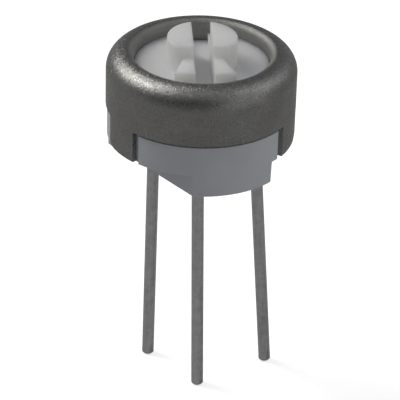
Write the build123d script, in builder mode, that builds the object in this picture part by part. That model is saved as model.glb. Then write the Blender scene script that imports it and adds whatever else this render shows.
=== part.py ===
from build123d import *
from math import atan2, cos, degrees, pi, radians, sin
import os

os.makedirs("parts", exist_ok=True)

# Round single-turn trimmer, in millimetres. z = 0 is the face that sits on the board, the axis is Z,
# and the front is towards -Y. Azimuths run from the front, growing towards +X.

# Can: one drawn cup of sheet metal, rolled in at the top and crimped at the bottom
can_diameter = 7.87
can_over_disc = 1.82
can_sheet = 0.22
can_rim_radius = 0.83
can_rim_width = 1.125
can_collar_sheet = 0.15
can_collar_depth = 0.87
can_collar_bend = 0.29
can_notch_below_disc = 0.06
can_notch_corner = 0.08
tab_tip = 0.98
tab_crimp_height = 0.30
tab_crimp_inset = 0.03
tab_width_angle = 25.0
tab_azimuths = (-56.0, 71.9, 188.0)

# Base: white moulding that carries the element and the leads
base_lobe_setback = 0.065
base_top = 2.42
base_lobe_gap = 0.10
base_can_clearance = 0.015
base_tab_gap_angle = 4.0
base_edge_chamfer = 0.05
base_draft = 1.5
base_flats = ((-49.8, 1.19), (88.0, 0.82), (199.0, 1.03))

# Element: ceramic disc with its printed films
disc_thickness = 0.50
disc_clearance = 0.05
film_thickness = 0.04
track_stop_gap = 0.01
track_width = 0.50
track_end_azimuth = 50.0
track_pad_angle = 8.0
pad_radius = 0.42
pad_strip_width = 0.42
collector_outer_radius = 1.15
collector_inner_radius = 0.45
collector_path_width = 0.50

# Leads: straight round wires, slightly splayed below the base
lead_diameter = 0.508
lead_tip = -9.90
lead_bend_drop = 0.45
lead_bend_radius = 1.20
lead_tip_chamfer = 0.06
lead_hole_clearance = 0.01
lead_hole_mouth = 0.22
lead_plating_gap = 0.03
lead_exits = {"left": (-1.92, -0.06), "middle": (-0.02, -2.42), "right": (2.38, -0.22)}
lead_tips = {"left": (-2.01, -0.25), "middle": (0.18, -2.54), "right": (3.09, -0.54)}
solder_radius = 0.38
solder_top_radius = 0.16
solder_height = 0.13

# Stop: a post on the base meets a lug under the rotor at each end of the travel
turn_range = 270.0
stop_gap_angle = 1.0
stop_post_angle = 40.0
stop_post_top_gap = 0.06
stop_post_depth = 0.33
stop_clearance = 0.05
stop_lug_lift = 0.12

# Rotor: white moulding with a slotted stub that stands proud of the can
rotor_turn = 4.0
rotor_bore_clearance = 0.05
rotor_dish_depth = 0.54
rotor_shelf_gap = 0.15
rotor_flange_thickness = 0.24
rotor_hub_thickness = 0.22
rotor_flange_clearance = 0.06
stub_diameter = 2.90
stub_rise = 0.63
stub_front = 0.98
stub_edge_round = 0.06
pointer_rise = 0.14
pointer_edge_gap = 0.34
pointer_front_width = 2.50
pointer_back_width = 1.56
slot_width = 0.80
slot_below_dish = 0.33
stake_diameter = 0.36
stake_spread = 1.20
stake_length = 0.24
stake_clearance = 0.02

# Seal: square-cut rubber ring in the channel between the can's collar and its wall
seal_height = 0.40
seal_clearance = 0.02
seal_side_gap = 0.04
seal_chamfer = 0.18

# Contact spring: stamped sheet with two sets of bent fingers
spring_sheet = 0.08
spring_plate_width = 1.90
spring_plate_front = 1.45
spring_plate_back = 1.85
spring_plate_round = 0.30
spring_finger_width = 0.17
spring_finger_pitch = 0.26
spring_finger_bend = 0.12
spring_finger_reach = 0.36
spring_tip_length = 0.17
spring_tip_lift = 0.09
spring_contact_gap = 0.01
spring_window_width = 0.62
spring_window_front = 1.15
spring_window_back = 0.05
spring_inner_contact = 0.80

# Sizes that follow from the ones above
disc_top = base_top + disc_thickness
film_top = disc_top + film_thickness
can_top = disc_top + can_over_disc
can_notch_top = base_top - can_notch_below_disc
can_radius = can_diameter / 2
can_bore = can_radius - can_sheet
collar_inner = can_radius - can_rim_width
collar_outer = collar_inner + can_collar_sheet
collar_tip = can_top - can_collar_depth
lobe_radius = can_radius - base_lobe_setback
core_radius = can_bore - base_can_clearance
lead_radius = lead_diameter / 2
post_inner = core_radius - stop_post_depth
track_outer_radius = post_inner - track_stop_gap
track_inner_radius = track_outer_radius - track_width
track_mid_radius = track_outer_radius - track_width / 2
flange_top = collar_tip - rotor_shelf_gap
flange_bottom = flange_top - rotor_flange_thickness
hub_bottom = flange_bottom - rotor_hub_thickness
flange_radius = can_bore - rotor_flange_clearance
rotor_dish = can_top - rotor_dish_depth
slot_floor = rotor_dish - slot_below_dish
stub_top = can_top + stub_rise
pointer_top = can_top + pointer_rise
pointer_front = collar_inner - rotor_bore_clearance - pointer_edge_gap
stop_post_top = flange_bottom - stop_post_top_gap
hub_radius = post_inner - stop_clearance
lug_inner = track_outer_radius + stop_clearance
lug_bottom = disc_top + stop_lug_lift
lug_angle = 360.0 - turn_range - stop_post_angle - 2 * stop_gap_angle
spring_top = hub_bottom
spring_bottom = spring_top - spring_sheet
spring_middle = spring_top - spring_sheet / 2
spring_contact = film_top + spring_contact_gap + spring_sheet / 2


def at_azimuth(azimuth, radius):
    """Point in the XY plane at an azimuth counted from the front."""
    return (radius * sin(radians(azimuth)), -radius * cos(radians(azimuth)))


def turned(height):
    """Horizontal plane at a height that follows the rotor's angle at rest."""
    direction = (cos(radians(rotor_turn)), sin(radians(rotor_turn)), 0)
    return Plane(origin=(0, 0, height), x_dir=direction, z_dir=(0, 0, 1))


def along_slot(side_shift):
    """Upright plane that holds the rotor's axis direction and its slot, shifted sideways."""
    across = Vector(cos(radians(rotor_turn)), sin(radians(rotor_turn)), 0)
    return Plane(origin=across * side_shift, x_dir=Vector(0, 0, 1).cross(across), z_dir=across)


def ring_sector(inner, outer, start, end):
    """Flat ring sector between two azimuths, on the XY plane."""
    middle = (start + end) / 2
    with BuildSketch(mode=Mode.PRIVATE) as shape:
        with BuildLine():
            outer_arc = ThreePointArc(*[at_azimuth(azimuth, outer) for azimuth in (start, middle, end)])
            inner_arc = ThreePointArc(*[at_azimuth(azimuth, inner) for azimuth in (start, middle, end)])
            Line(outer_arc @ 0, inner_arc @ 0)
            Line(outer_arc @ 1, inner_arc @ 1)
        make_face()
    return shape.sketch_local


# The notches lie between one tab and the next, all the way round
tab_half = tab_width_angle / 2
notches = []
for index, azimuth in enumerate(tab_azimuths):
    following = tab_azimuths[(index + 1) % len(tab_azimuths)]
    span_end = following + (360.0 if following < azimuth else 0.0)
    notches.append((azimuth + tab_half, span_end - tab_half))

# Can cover
with BuildPart() as can_cover:
    with BuildSketch(Plane.XZ) as can_section:
        with BuildLine():
            Polyline(
                (can_radius - tab_crimp_inset, tab_tip),
                (can_radius, tab_tip + tab_crimp_height),
                (can_radius, can_top),
                (collar_inner, can_top),
                (collar_inner, collar_tip),
                (collar_outer, collar_tip),
                (collar_outer, can_top - can_sheet),
                (can_bore, can_top - can_sheet),
                (can_bore, tab_tip + tab_crimp_height),
                (can_bore - tab_crimp_inset, tab_tip),
                close=True,
            )
        make_face()
        corners = can_section.vertices().group_by(Axis.Y)
        fillet(corners[-1].sort_by(Axis.X)[-1], can_rim_radius)
        fillet(can_section.vertices().group_by(Axis.Y)[-1].sort_by(Axis.X)[0], can_collar_bend)
        inner_corners = can_section.vertices().filter_by(
            lambda corner: abs(corner.Y - (can_top - can_sheet)) < can_sheet / 10
        )
        fillet(inner_corners.sort_by(Axis.X)[-1], can_rim_radius - can_sheet)
    revolve(axis=Axis.Z)
    with BuildSketch(Plane.XY.offset(tab_tip)):
        for start, end in notches:
            add(ring_sector(collar_outer, can_diameter, start, end))
    extrude(amount=can_notch_top - tab_tip, mode=Mode.SUBTRACT)
    notch_corners = can_cover.edges().filter_by(
        lambda edge: abs(edge.center().Z - can_notch_top) < can_sheet
        and edge.length < can_sheet * 1.2
    )
    fillet(notch_corners, can_notch_corner)
can_cover.part.label = "can_cover"

# Base: core inside the can, lobes that fill the notches, and a boss with three flats below
with BuildPart() as base:
    with BuildSketch(Plane.XZ):
        with BuildLine():
            Polyline(
                (0, tab_tip),
                (core_radius - tab_crimp_inset, tab_tip),
                (core_radius, tab_tip + tab_crimp_height),
                (core_radius, base_top),
                (0, base_top),
                close=True,
            )
        make_face()
    revolve(axis=Axis.Z)
    with BuildSketch(Plane.XY.offset(tab_tip)):
        for start, end in notches:
            add(ring_sector(collar_inner, lobe_radius, start + base_tab_gap_angle, end - base_tab_gap_angle))
    extrude(amount=can_notch_top - base_lobe_gap - tab_tip)
    with BuildSketch(Plane.XY.offset(tab_tip)):
        Circle(lobe_radius)
        for azimuth, depth in base_flats:
            with Locations(Location((*at_azimuth(azimuth, 2 * lobe_radius - depth), 0), azimuth - 90)):
                Rectangle(2 * lobe_radius, 2 * lobe_radius, mode=Mode.SUBTRACT)
    extrude(amount=-tab_tip, taper=base_draft)
    foot_edges = base.faces().sort_by(Axis.Z)[0].edges()
    chamfer(foot_edges, base_edge_chamfer)
    with BuildSketch(Plane.XY.offset(base_top)):
        add(ring_sector(post_inner, core_radius, -stop_post_angle / 2, stop_post_angle / 2))
    extrude(amount=stop_post_top - base_top)
    with Locations([(*lead_exits[side], base_top) for side in lead_exits]):
        Hole(lead_radius + lead_hole_clearance, depth=base_top)
    hole_edges = base.faces().sort_by(Axis.Z)[0].edges().filter_by(
        lambda edge: abs(edge.length - 2 * pi * (lead_radius + lead_hole_clearance)) < lead_hole_clearance
    )
    chamfer(hole_edges, lead_hole_mouth)
base.part.label = "base"

# Ceramic disc: three plated holes, and a gap in its edge for the stop post
with BuildPart() as ceramic_disc:
    with BuildSketch(Plane.XY.offset(base_top)):
        Circle(core_radius - disc_clearance)
        half_gap = stop_post_angle / 2 + stop_gap_angle
        add(ring_sector(post_inner - disc_clearance, can_radius, -half_gap, half_gap), mode=Mode.SUBTRACT)
        with Locations(*lead_exits.values()):
            Circle(lead_radius + lead_plating_gap, mode=Mode.SUBTRACT)
    extrude(amount=disc_thickness)
ceramic_disc.part.label = "ceramic_disc"

# Resistance track: printed horseshoe, open at the front
with BuildPart() as resistance_track:
    with BuildSketch(Plane.XY.offset(disc_top)):
        add(ring_sector(track_inner_radius, track_outer_radius, track_end_azimuth, 360.0 - track_end_azimuth))
    extrude(amount=film_thickness)
resistance_track.part.label = "resistance_track"

# End pads: a land round each outer lead, a strip along the track's inside, and a bar that meets its end
end_pads = {}
for side, sign in (("left", -1), ("right", 1)):
    exit_x, exit_y = lead_exits[side]
    exit_radius = (exit_x**2 + exit_y**2) ** 0.5
    exit_azimuth = degrees(atan2(abs(exit_x), -exit_y))
    strip_inner = exit_radius - pad_strip_width / 2
    bar_start = track_end_azimuth - track_pad_angle
    with BuildPart() as end_pad:
        with BuildSketch(Plane.XY.offset(disc_top)):
            with Locations((exit_x, exit_y)):
                Circle(pad_radius)
            strip_ends = sorted((sign * bar_start, sign * exit_azimuth))
            add(ring_sector(strip_inner, strip_inner + pad_strip_width, *strip_ends))
            bar_ends = sorted((sign * bar_start, sign * track_end_azimuth))
            add(ring_sector(strip_inner, track_outer_radius, *bar_ends))
            with Locations((exit_x, exit_y)):
                Circle(lead_radius + lead_plating_gap, mode=Mode.SUBTRACT)
        extrude(amount=film_thickness)
    end_pad.part.label = "end_pad_" + side
    end_pads[side] = end_pad

# Collector: printed ring in the middle, joined to the front lead
with BuildPart() as collector_pad:
    with BuildSketch(Plane.XY.offset(disc_top)):
        exit_x, exit_y = lead_exits["middle"]
        with Locations((exit_x / 2, exit_y / 2)):
            Rectangle(collector_path_width, abs(exit_y))
        Circle(collector_outer_radius)
        Circle(collector_inner_radius, mode=Mode.SUBTRACT)
        with Locations((exit_x, exit_y)):
            Circle(pad_radius)
            Circle(lead_radius + lead_plating_gap, mode=Mode.SUBTRACT)
    extrude(amount=film_thickness)
collector_pad.part.label = "collector_pad"

# Leads: straight through base and disc, then bent a little outwards below the board face
leads = {}
for side in lead_exits:
    exit_x, exit_y = lead_exits[side]
    tip_x, tip_y = lead_tips[side]
    with BuildPart() as lead:
        with BuildLine() as route:
            FilletPolyline(
                (exit_x, exit_y, disc_top),
                (exit_x, exit_y, -lead_bend_drop),
                (tip_x, tip_y, lead_tip),
                radius=lead_bend_radius,
            )
        with BuildSketch(Plane(origin=(exit_x, exit_y, disc_top), z_dir=(0, 0, -1))):
            Circle(lead_radius)
        sweep(path=route.wires()[0])
        chamfer(lead.faces().sort_by(Axis.Z)[0].edges(), lead_tip_chamfer)
    lead.part.label = "lead_" + side
    leads[side] = lead

# Solder: a low cone over the end of each lead, filling the plated hole in its pad
solders = {}
for side in lead_exits:
    with BuildPart() as solder:
        with BuildSketch(Plane.XZ):
            with BuildLine():
                Polyline(
                    (0, disc_top),
                    (lead_radius + lead_plating_gap, disc_top),
                    (lead_radius + lead_plating_gap, film_top),
                    (solder_radius, film_top),
                    (solder_top_radius, film_top + solder_height),
                    (0, film_top + solder_height),
                    close=True,
                )
            make_face()
        revolve(axis=Axis.Z)
    solder.part.locate(Location((*lead_exits[side], 0)))
    solder.part.label = "solder_" + side
    solders[side] = solder

# Seal ring: rests on the rotor's flange, between the can's collar and its wall
with BuildPart() as seal_ring:
    with BuildSketch(Plane.XZ):
        with Locations((collar_outer + seal_side_gap, flange_top + seal_clearance)):
            Rectangle(
                can_bore - collar_outer - 2 * seal_side_gap, seal_height, align=(Align.MIN, Align.MIN)
            )
    revolve(axis=Axis.Z)
    chamfer(seal_ring.edges().group_by(Axis.Z)[-1].sort_by(SortBy.LENGTH)[-1], seal_chamfer)
seal_ring.part.label = "seal_ring"

# Rotor: hub, flange with its stop lug, dish inside the collar, and the slotted stub with its pointer
with BuildPart() as rotor:
    with BuildSketch(Plane.XZ):
        with BuildLine():
            Polyline(
                (0, hub_bottom),
                (hub_radius, hub_bottom),
                (hub_radius, flange_bottom),
                (flange_radius, flange_bottom),
                (flange_radius, flange_top),
                (collar_inner - rotor_bore_clearance, flange_top),
                (collar_inner - rotor_bore_clearance, rotor_dish),
                (0, rotor_dish),
                close=True,
            )
        make_face()
    revolve(axis=Axis.Z)
    with BuildSketch(Plane.XY.offset(lug_bottom)):
        lug_ends = (180.0 + rotor_turn - lug_angle / 2, 180.0 + rotor_turn + lug_angle / 2)
        add(ring_sector(lug_inner, flange_radius, *lug_ends))
    extrude(amount=flange_top - lug_bottom)
    with BuildSketch(turned(rotor_dish)):
        Circle(stub_diameter / 2)
        with Locations((0, -stub_front)):
            Rectangle(stub_diameter, stub_diameter, align=(Align.CENTER, Align.MAX), mode=Mode.SUBTRACT)
    extrude(amount=stub_top - rotor_dish)
    stub_edges = rotor.faces().sort_by(Axis.Z)[-1].edges()
    fillet(stub_edges, stub_edge_round)
    with BuildSketch(turned(rotor_dish)):
        with BuildLine():
            Polyline(
                (-pointer_back_width / 2, -stub_front),
                (-pointer_front_width / 2, -pointer_front),
                (pointer_front_width / 2, -pointer_front),
                (pointer_back_width / 2, -stub_front),
                close=True,
            )
        make_face()
    extrude(amount=pointer_top - rotor_dish)
    with BuildSketch(turned(stub_top)):
        Rectangle(slot_width, 2 * can_diameter)
    extrude(amount=slot_floor - stub_top, mode=Mode.SUBTRACT)
    with BuildSketch(turned(hub_bottom)):
        with GridLocations(stake_spread, 0, 2, 1):
            Circle(stake_diameter / 2)
    extrude(amount=-stake_length)
rotor.part.label = "rotor"

# Contact spring: a plate staked under the rotor, with bent fingers on the track and on the collector
outer_finger = [
    (spring_plate_back - spring_finger_reach, spring_middle),
    (track_mid_radius - spring_finger_reach, spring_middle),
    (track_mid_radius, spring_contact),
    (track_mid_radius + spring_tip_length, spring_contact + spring_tip_lift),
]
inner_finger = [
    (spring_finger_bend, spring_middle),
    (-spring_inner_contact + spring_finger_reach, spring_middle),
    (-spring_inner_contact, spring_contact),
    (-spring_inner_contact - spring_tip_length, spring_contact + spring_tip_lift),
]
finger_rows = [(outer_finger, 3), (inner_finger, 2)]
with BuildPart() as contact_spring:
    with BuildSketch(turned(spring_bottom)):
        with Locations((0, (spring_plate_back - spring_plate_front) / 2)):
            RectangleRounded(
                spring_plate_width, spring_plate_back + spring_plate_front, spring_plate_round
            )
        with Locations((0, -(spring_window_front + spring_window_back) / 2)):
            Rectangle(
                spring_window_width, spring_window_front - spring_window_back, mode=Mode.SUBTRACT
            )
        with GridLocations(stake_spread, 0, 2, 1):
            Circle(stake_diameter / 2 + stake_clearance, mode=Mode.SUBTRACT)
    extrude(amount=spring_sheet)
    for points, count in finger_rows:
        for index in range(count):
            side_shift = (index - (count - 1) / 2) * spring_finger_pitch
            with BuildSketch(along_slot(side_shift)):
                with BuildLine():
                    FilletPolyline(*points, radius=spring_finger_bend)
                trace(line_width=spring_sheet)
            extrude(amount=spring_finger_width / 2, both=True)
contact_spring.part.label = "contact_spring"

housing_pieces = [can_cover, base, ceramic_disc, resistance_track, collector_pad, seal_ring]
housing_pieces += [*end_pads.values(), *leads.values(), *solders.values()]
for piece in [*housing_pieces, rotor, contact_spring]:
    export_step(piece.part, "parts/" + piece.part.label + ".step")
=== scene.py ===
from math import radians

import bpy
from mathutils import Matrix, Vector


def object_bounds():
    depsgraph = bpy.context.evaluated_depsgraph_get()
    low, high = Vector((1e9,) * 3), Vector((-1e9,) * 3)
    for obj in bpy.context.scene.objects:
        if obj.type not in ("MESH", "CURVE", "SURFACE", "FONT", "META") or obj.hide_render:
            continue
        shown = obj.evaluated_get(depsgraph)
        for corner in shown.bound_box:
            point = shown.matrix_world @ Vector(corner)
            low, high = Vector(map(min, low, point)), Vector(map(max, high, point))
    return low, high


MM = 0.001

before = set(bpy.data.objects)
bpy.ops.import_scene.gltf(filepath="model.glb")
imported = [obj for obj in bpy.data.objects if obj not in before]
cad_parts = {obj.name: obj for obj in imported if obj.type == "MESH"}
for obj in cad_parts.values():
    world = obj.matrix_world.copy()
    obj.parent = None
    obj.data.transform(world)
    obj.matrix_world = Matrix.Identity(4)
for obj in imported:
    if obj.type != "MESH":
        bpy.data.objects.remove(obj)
cad_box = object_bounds()

# Camera: a long lens, about 28 degrees above the can, rolled a little as the photograph is
CAMERA_PLACE = Vector((0.0, -87.11, 47.70)) * MM
CAMERA_TARGET = Vector((0.085, 0.0, -2.325)) * MM
CAMERA_ROLL = 1.627
CAMERA_LENS = 213.7
CAMERA_SENSOR = 36.0
CAMERA_NEAR = 1 * MM
CAMERA_FAR = 10000 * MM


def aimed(place, target, roll=0.0):
    """Matrix of an object at place whose -Z points at target, rolled by degrees about its view axis."""
    turn = (target - place).to_track_quat("-Z", "Y").to_matrix().to_4x4()
    return Matrix.Translation(place) @ turn @ Matrix.Rotation(radians(roll), 4, "Z")


camera_data = bpy.data.cameras.new("photo_camera")
camera_data.lens = CAMERA_LENS
camera_data.sensor_width = CAMERA_SENSOR
camera_data.clip_start = CAMERA_NEAR
camera_data.clip_end = CAMERA_FAR
camera = bpy.data.objects.new("photo_camera", camera_data)
camera.matrix_world = aimed(CAMERA_PLACE, CAMERA_TARGET, CAMERA_ROLL)
bpy.context.scene.collection.objects.link(camera)
bpy.context.scene.camera = camera


def grey(level):
    """A neutral colour."""
    return (level, level, level)


class Shader:
    """A node material built step by step. Its sizes and depths are in millimetres of the piece."""

    def __init__(self, name):
        self.material = bpy.data.materials.new(name)
        self.material.use_nodes = True
        self.tree = self.material.node_tree
        self.tree.nodes.clear()
        self.surface = self.tree.nodes.new("ShaderNodeBsdfPrincipled")
        self.output = self.tree.nodes.new("ShaderNodeOutputMaterial")
        self.tree.links.new(self.surface.outputs["BSDF"], self.output.inputs["Surface"])
        self.place = self.tree.nodes.new("ShaderNodeTexCoord").outputs["Object"]
        self.last_normal = None

    def set(self, **values):
        """Constants on the surface shader's own sockets."""
        for socket, value in values.items():
            self.surface.inputs[socket.replace("_", " ")].default_value = value

    def link(self, output, socket):
        """Another node's output into one of the surface shader's sockets."""
        self.tree.links.new(output, self.surface.inputs[socket])

    def noise(self, size, detail=3.0, stretch=(1.0, 1.0, 1.0), roughness=0.5):
        """Noise whose grains are about size across, times stretch along each axis."""
        mapping = self.tree.nodes.new("ShaderNodeMapping")
        mapping.inputs["Scale"].default_value = [1 / (size * MM * part) for part in stretch]
        self.tree.links.new(self.place, mapping.inputs["Vector"])
        texture = self.tree.nodes.new("ShaderNodeTexNoise")
        texture.inputs["Scale"].default_value = 1.0
        texture.inputs["Detail"].default_value = detail
        texture.inputs["Roughness"].default_value = roughness
        self.tree.links.new(mapping.outputs["Vector"], texture.inputs["Vector"])
        return texture.outputs["Fac"]

    def between(self, value, first, last, start=0.3, end=0.7):
        """Colour that runs from first to last while value runs from start to end."""
        node = self.tree.nodes.new("ShaderNodeValToRGB")
        for point, position, colour in zip(node.color_ramp.elements, (start, end), (first, last)):
            point.position = position
            point.color = (*colour, 1.0)
        self.tree.links.new(value, node.inputs["Fac"])
        return node.outputs["Color"]

    def blend(self, kind, first, second):
        """Two colours put together by a blend type such as MULTIPLY or ADD."""
        node = self.tree.nodes.new("ShaderNodeMix")
        node.data_type = "RGBA"
        node.blend_type = kind
        node.inputs["Factor"].default_value = 1.0
        self.tree.links.new(first, node.inputs["A"])
        self.tree.links.new(second, node.inputs["B"])
        return node.outputs["Result"]

    def from_axis(self, near, far):
        """0 at the distance near from the Z axis, 1 at far."""
        flat = self.tree.nodes.new("ShaderNodeVectorMath")
        flat.operation = "MULTIPLY"
        flat.inputs[1].default_value = (1.0, 1.0, 0.0)
        self.tree.links.new(self.place, flat.inputs[0])
        length = self.tree.nodes.new("ShaderNodeVectorMath")
        length.operation = "LENGTH"
        self.tree.links.new(flat.outputs["Vector"], length.inputs[0])
        share = self.tree.nodes.new("ShaderNodeMapRange")
        share.inputs["From Min"].default_value = near * MM
        share.inputs["From Max"].default_value = far * MM
        self.tree.links.new(length.outputs["Value"], share.inputs["Value"])
        return share.outputs["Result"]

    def soften(self, radius):
        """Edges that catch the light as if rounded by radius."""
        node = self.tree.nodes.new("ShaderNodeBevel")
        node.inputs["Radius"].default_value = radius * MM
        self.last_normal = node.outputs["Normal"]

    def bump(self, value, depth, strength=1.0):
        """Relief on top of any relief or softening already there."""
        node = self.tree.nodes.new("ShaderNodeBump")
        node.inputs["Strength"].default_value = strength
        node.inputs["Distance"].default_value = depth * MM
        self.tree.links.new(value, node.inputs["Height"])
        if self.last_normal is not None:
            self.tree.links.new(self.last_normal, node.inputs["Normal"])
        self.last_normal = node.outputs["Normal"]
        self.tree.links.new(self.last_normal, self.surface.inputs["Normal"])


def can_metal():
    """Blasted sheet metal: shallow waves under fine grains, and duller on the collar round the opening."""
    shader = Shader("can_metal")
    shader.set(Metallic=1.0)
    cloudy = shader.noise(size=0.9, detail=4.0)
    patches = shader.between(cloudy, (0.355, 0.352, 0.342), (0.42, 0.416, 0.405))
    speckle = shader.noise(size=0.10, detail=2.0)
    grains = shader.between(speckle, grey(0.82), grey(1.0), start=0.25, end=0.75)
    shader.link(shader.blend("MULTIPLY", patches, grains), "Base Color")
    satin = shader.between(shader.noise(size=0.25), grey(0.25), grey(0.31))
    past_collar = shader.from_axis(near=2.95, far=3.10)
    dull_collar = shader.between(past_collar, grey(0.28), grey(0.0), start=0.0, end=1.0)
    shader.link(shader.blend("ADD", satin, dull_collar), "Roughness")
    shader.bump(shader.noise(size=0.11, detail=2.0), depth=0.007, strength=0.7)
    shader.bump(shader.noise(size=0.034, detail=0.0), depth=0.015)
    return shader.material


def base_plastic():
    """Cool white plastic that light goes only a little way into."""
    shader = Shader("base_plastic")
    shader.set(Roughness=0.42, Subsurface_Weight=0.12, Subsurface_Scale=0.4 * MM, Specular_IOR_Level=0.4)
    shades = shader.between(shader.noise(size=1.4, detail=4.0), (0.73, 0.76, 0.81), (0.79, 0.82, 0.87))
    shader.link(shades, "Base Color")
    shader.bump(shader.noise(size=0.16, detail=4.0), depth=0.006, strength=0.4)
    return shader.material


def rotor_plastic():
    """Milky plastic that light goes deep into, blue light a little less deep, with softened edges."""
    shader = Shader("rotor_plastic")
    shader.set(Roughness=0.46, Subsurface_Weight=1.0, Subsurface_Scale=1.5 * MM, Specular_IOR_Level=0.4)
    shader.set(Subsurface_Radius=(1.0, 0.98, 0.85))
    shades = shader.between(shader.noise(size=0.8, detail=4.0), (0.93, 0.935, 0.93), (0.955, 0.96, 0.955))
    shader.link(shades, "Base Color")
    shader.soften(radius=0.16)
    shader.bump(shader.noise(size=0.18, detail=4.0), depth=0.008, strength=0.4)
    return shader.material


def lead_wire():
    """Drawn and tinned wire: streaks along it, and duller patches."""
    shader = Shader("lead_wire")
    shader.set(Metallic=1.0)
    long_grains = shader.noise(size=0.07, stretch=(1.0, 1.0, 24.0))
    streaks = shader.between(long_grains, (0.69, 0.693, 0.695), (0.82, 0.823, 0.825))
    cloudy = shader.noise(size=0.30, detail=4.0, roughness=0.65)
    patches = shader.between(cloudy, grey(0.80), grey(1.0), start=0.35, end=0.65)
    shader.link(shader.blend("MULTIPLY", streaks, patches), "Base Color")
    shader.link(shader.between(shader.noise(size=0.3), grey(0.34), grey(0.46)), "Roughness")
    shader.bump(shader.noise(size=0.08, detail=2.0, stretch=(1.0, 1.0, 16.0)), depth=0.004, strength=0.4)
    return shader.material


def mottled(name, dark, light, grain, roughness, depth, metallic=0.0):
    """Finish of a piece inside: two shades of one colour and a fine relief."""
    shader = Shader(name)
    shader.set(Metallic=metallic, Roughness=roughness)
    shader.link(shader.between(shader.noise(size=grain, detail=4.0), dark, light), "Base Color")
    shader.bump(shader.noise(size=grain / 3), depth, strength=0.5)
    return shader.material


def ceramic():
    dark = (0.78, 0.77, 0.73)
    light = (0.84, 0.83, 0.80)
    return mottled("ceramic", dark, light, grain=0.4, roughness=0.55, depth=0.004)


def seal_rubber():
    return mottled("seal_rubber", grey(0.012), grey(0.022), grain=0.3, roughness=0.6, depth=0.006)


def spring_alloy():
    dark = (0.72, 0.56, 0.32)
    light = (0.78, 0.63, 0.38)
    return mottled("spring_alloy", dark, light, grain=0.3, roughness=0.28, depth=0.002, metallic=1.0)


def resistive_film():
    dark = (0.016, 0.016, 0.018)
    light = (0.030, 0.030, 0.033)
    return mottled("resistive_film", dark, light, grain=0.15, roughness=0.5, depth=0.003)


def conductor_film():
    dark = (0.62, 0.60, 0.56)
    light = (0.74, 0.72, 0.68)
    return mottled("conductor_film", dark, light, grain=0.2, roughness=0.38, depth=0.003, metallic=1.0)


def solder_metal():
    dark = (0.55, 0.55, 0.55)
    light = (0.66, 0.66, 0.65)
    return mottled("solder_metal", dark, light, grain=0.25, roughness=0.22, depth=0.003, metallic=1.0)


SIDES = ("left", "middle", "right")
PIECES_OF_FINISH = (
    (can_metal, ["can_cover"]),
    (base_plastic, ["base"]),
    (rotor_plastic, ["rotor"]),
    (ceramic, ["ceramic_disc"]),
    (seal_rubber, ["seal_ring"]),
    (spring_alloy, ["contact_spring"]),
    (resistive_film, ["resistance_track"]),
    (conductor_film, ["collector_pad", "end_pad_left", "end_pad_right"]),
    (solder_metal, ["solder_" + side for side in SIDES]),
    (lead_wire, ["lead_" + side for side in SIDES]),
)
for finish, pieces in PIECES_OF_FINISH:
    material = finish()
    for node in pieces:
        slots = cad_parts[node].data.materials
        slots.clear()
        slots.append(material)

# Floor: plain and pale, just under the tips of the leads
FLOOR_GAP = 0.01 * MM
FLOOR_HALF = 1500 * MM
FLOOR_GLOW = 0.66
FLOOR_BOUNCE = 0.46


def floor_paper():
    """Nearly white paper to the camera, and a mid grey to every other ray, so that less light bounces."""
    shader = Shader("floor_paper")
    shader.set(Roughness=0.9, Specular_IOR_Level=0.1)
    shader.set(Emission_Color=(*grey(1.0), 1.0), Emission_Strength=FLOOR_GLOW)
    shader.link(shader.between(shader.noise(size=30.0), grey(0.93), grey(0.95)), "Base Color")
    nodes = shader.tree.nodes
    links = shader.tree.links
    bounce = nodes.new("ShaderNodeBsdfDiffuse")
    bounce.inputs["Color"].default_value = (*grey(FLOOR_BOUNCE), 1.0)
    pick = nodes.new("ShaderNodeMixShader")
    links.new(nodes.new("ShaderNodeLightPath").outputs["Is Camera Ray"], pick.inputs[0])
    links.new(bounce.outputs["BSDF"], pick.inputs[1])
    links.new(shader.surface.outputs["BSDF"], pick.inputs[2])
    links.new(pick.outputs["Shader"], shader.output.inputs["Surface"])
    return shader.material


floor_level = cad_box[0][2] - FLOOR_GAP
corner_signs = ((-1, -1), (1, -1), (1, 1), (-1, 1))
floor_corners = [(x * FLOOR_HALF, y * FLOOR_HALF, floor_level) for x, y in corner_signs]
floor_mesh = bpy.data.meshes.new("floor")
floor_mesh.from_pydata(floor_corners, [], [(0, 1, 2, 3)])
floor_mesh.materials.append(floor_paper())
floor = bpy.data.objects.new("floor", floor_mesh)
bpy.context.scene.collection.objects.link(floor)

# Lights: a soft warm key from the left, above and slightly behind, a weaker one on the right, and a low
# fill from the right front
LIGHT_TARGET = Vector((0.0, 0.0, 2.0)) * MM
WARM_WHITE = (1.0, 0.985, 0.945)


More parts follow.
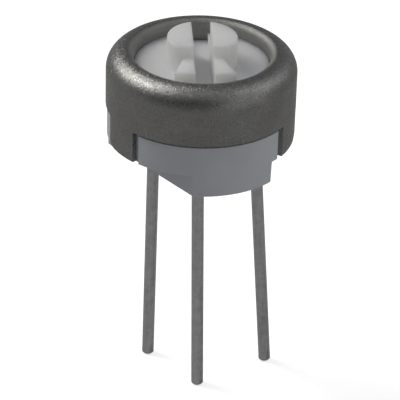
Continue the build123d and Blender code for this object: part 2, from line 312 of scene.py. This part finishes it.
def area_light(name, place, side, power, colour=grey(1.0)):
    """Square lamp that faces the object. Its place and side are in millimetres, its power in watts."""
    data = bpy.data.lights.new(name, "AREA")
    data.shape = "SQUARE"
    data.size = side * MM
    data.energy = power
    data.color = colour
    light = bpy.data.objects.new(name, data)
    light.matrix_world = aimed(Vector(place) * MM, LIGHT_TARGET)
    bpy.context.scene.collection.objects.link(light)


area_light("key_light", place=(-190.0, 95.0, 225.0), side=150.0, power=0.39, colour=WARM_WHITE)
area_light("right_light", place=(225.0, 25.0, 212.0), side=160.0, power=0.075)
area_light("right_fill", place=(230.0, -190.0, 30.0), side=160.0, power=0.07)

# Room: grey levels along an axis that rises at 45 degrees behind the object. It is dark low in front,
# brightest overhead and level behind, and dimmer between those two
ROOM_AXIS = (0.0, 0.707, 0.707)
ROOM_TINT = (1.0, 1.01, 1.03)
ROOM_LEVELS = ((0.0, 0.02), (0.3, 0.025), (0.6, 0.25), (0.85, 0.28), (1.0, 0.11))


def room_world():
    """World whose shade depends on how far a direction turns towards the axis."""
    world = bpy.data.worlds.new("room")
    world.use_nodes = True
    nodes = world.node_tree.nodes
    links = world.node_tree.links
    facing = nodes.new("ShaderNodeVectorMath")
    facing.operation = "DOT_PRODUCT"
    facing.inputs[1].default_value = ROOM_AXIS
    links.new(nodes.new("ShaderNodeTexCoord").outputs["Generated"], facing.inputs[0])
    along = nodes.new("ShaderNodeMapRange")
    along.inputs["From Min"].default_value = -1.0
    links.new(facing.outputs["Value"], along.inputs["Value"])
    shade = nodes.new("ShaderNodeValToRGB")
    points = shade.color_ramp.elements
    while len(points) < len(ROOM_LEVELS):
        points.new(0.5)
    for point, (position, level) in zip(points, ROOM_LEVELS):
        point.position = position
        point.color = (*[level * part for part in ROOM_TINT], 1.0)
    links.new(along.outputs["Result"], shade.inputs["Fac"])
    links.new(shade.outputs["Color"], nodes["Background"].inputs["Color"])
    return world


bpy.context.scene.world = room_world()
bpy.context.scene.view_settings.view_transform = "Standard"
